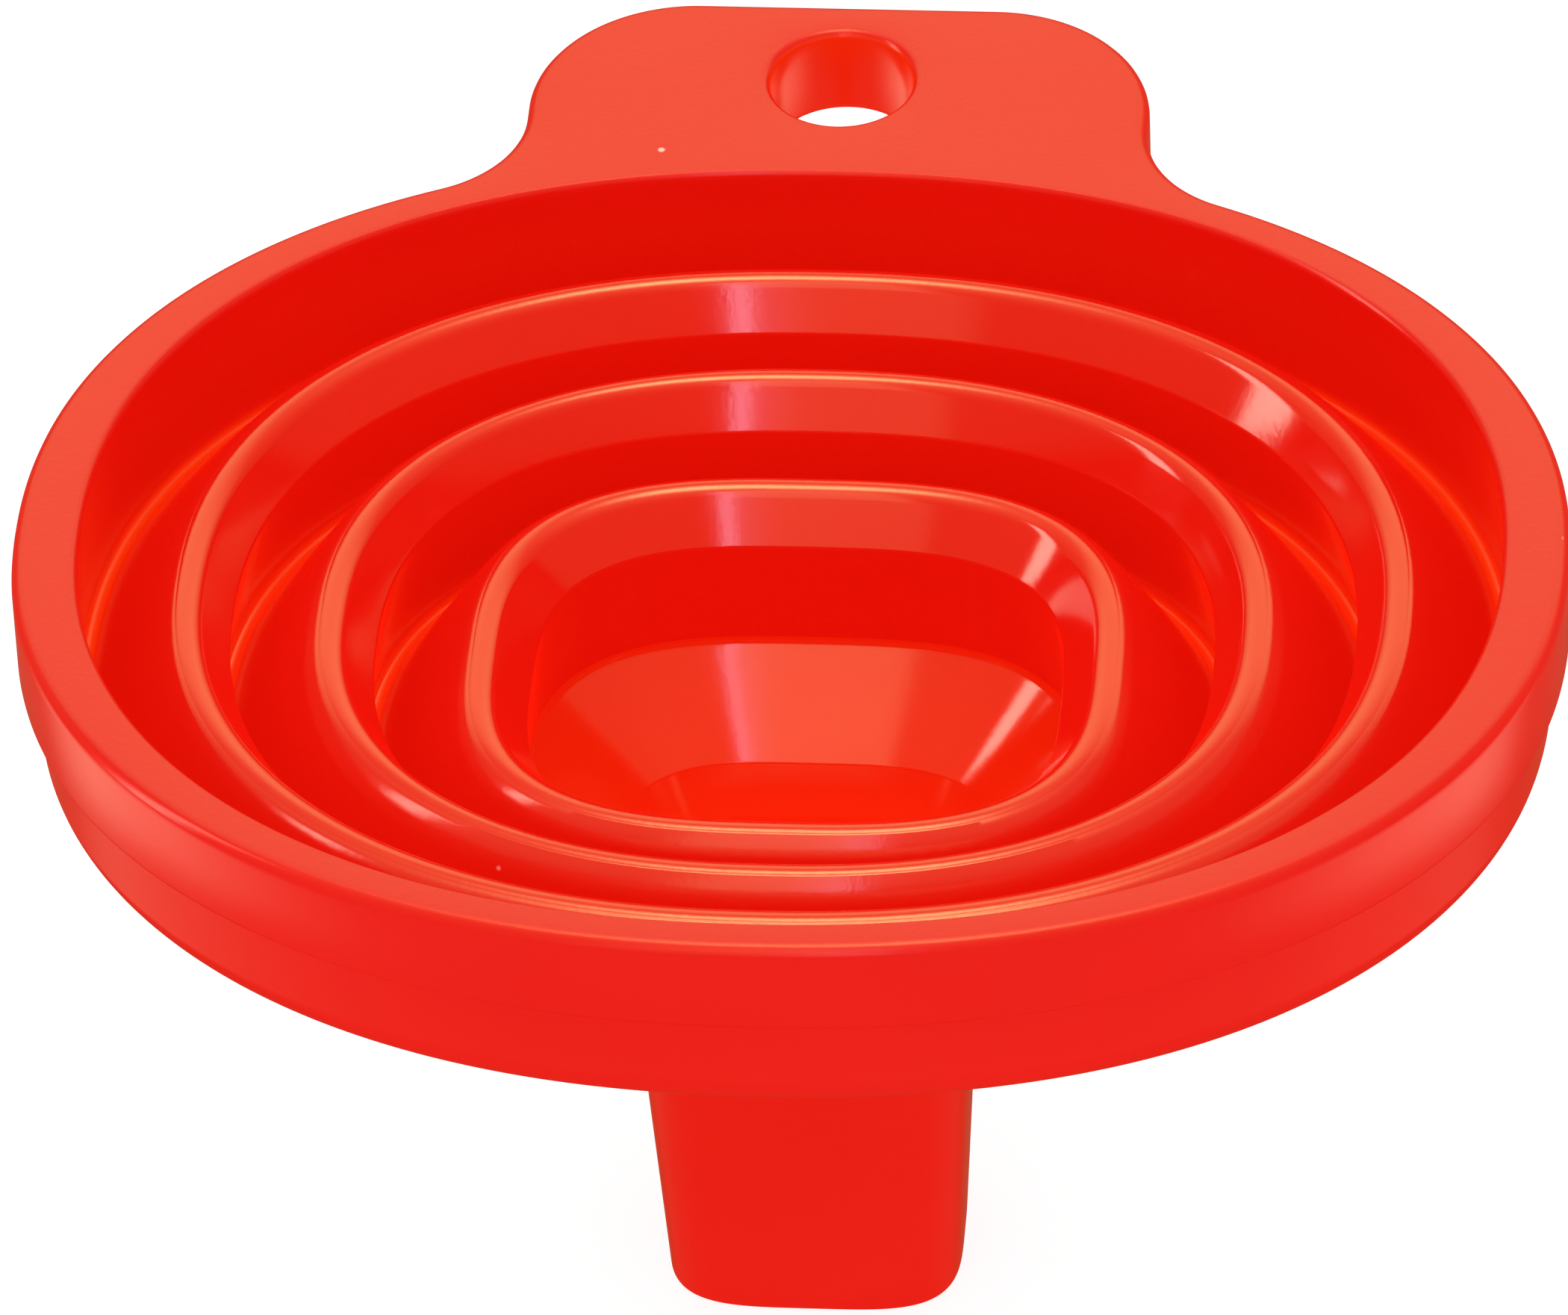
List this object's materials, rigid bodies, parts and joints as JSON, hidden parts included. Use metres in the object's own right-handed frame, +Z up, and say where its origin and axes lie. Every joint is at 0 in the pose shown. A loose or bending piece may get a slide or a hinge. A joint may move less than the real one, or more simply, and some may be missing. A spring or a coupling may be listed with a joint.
{
  "type": "collapsible funnel",
  "caption": "Collapsible oval silicone funnel in its folded state, with a flat rim, a hanging tab with a hole, concentric folding rings and a tapered rounded-rectangular spout.",
  "frame": {"origin": "centre of the spout's open end, on the spout's axis, where the spout goes into a bottle's neck", "axes": "+Z up the spout's axis to the rim, +Y towards the hanging tab, +X along the oval's long side"},
  "size_m": [0.0956, 0.0902, 0.0582],
  "materials": {
    "silicone_satin": "satin, fine grain",
    "silicone_gloss": "gloss"
  },
  "bodies": {
    "spout_body": {"spout": "silicone_satin", "throat_cone": "silicone_gloss", "ring_3": "silicone_gloss", "fold_web_3": "silicone_gloss"},
    "ring_2_body": {"ring_2": "silicone_gloss", "fold_web_2": "silicone_gloss"},
    "ring_1_body": {"ring_1": "silicone_gloss", "fold_web_1": "silicone_gloss"},
    "rim_body": {"rim_flange": "silicone_satin", "hanging_tab": "silicone_satin", "outer_wall": "silicone_satin"}
  },
  "joints": [
    {"name": "fold_3", "type": "slide", "parent": "spout_body", "child": "ring_2_body", "axis": [0, 0, 1], "range_m": [0, 0.0149], "deforming": ["fold_web_3"]},
    {"name": "fold_2", "type": "slide", "parent": "ring_2_body", "child": "ring_1_body", "axis": [0, 0, 1], "range_m": [0, 0.0147], "deforming": ["fold_web_2"]},
    {"name": "fold_1", "type": "slide", "parent": "ring_1_body", "child": "rim_body", "axis": [0, 0, 1], "range_m": [0, 0.012], "deforming": ["fold_web_1"]}
  ]
}
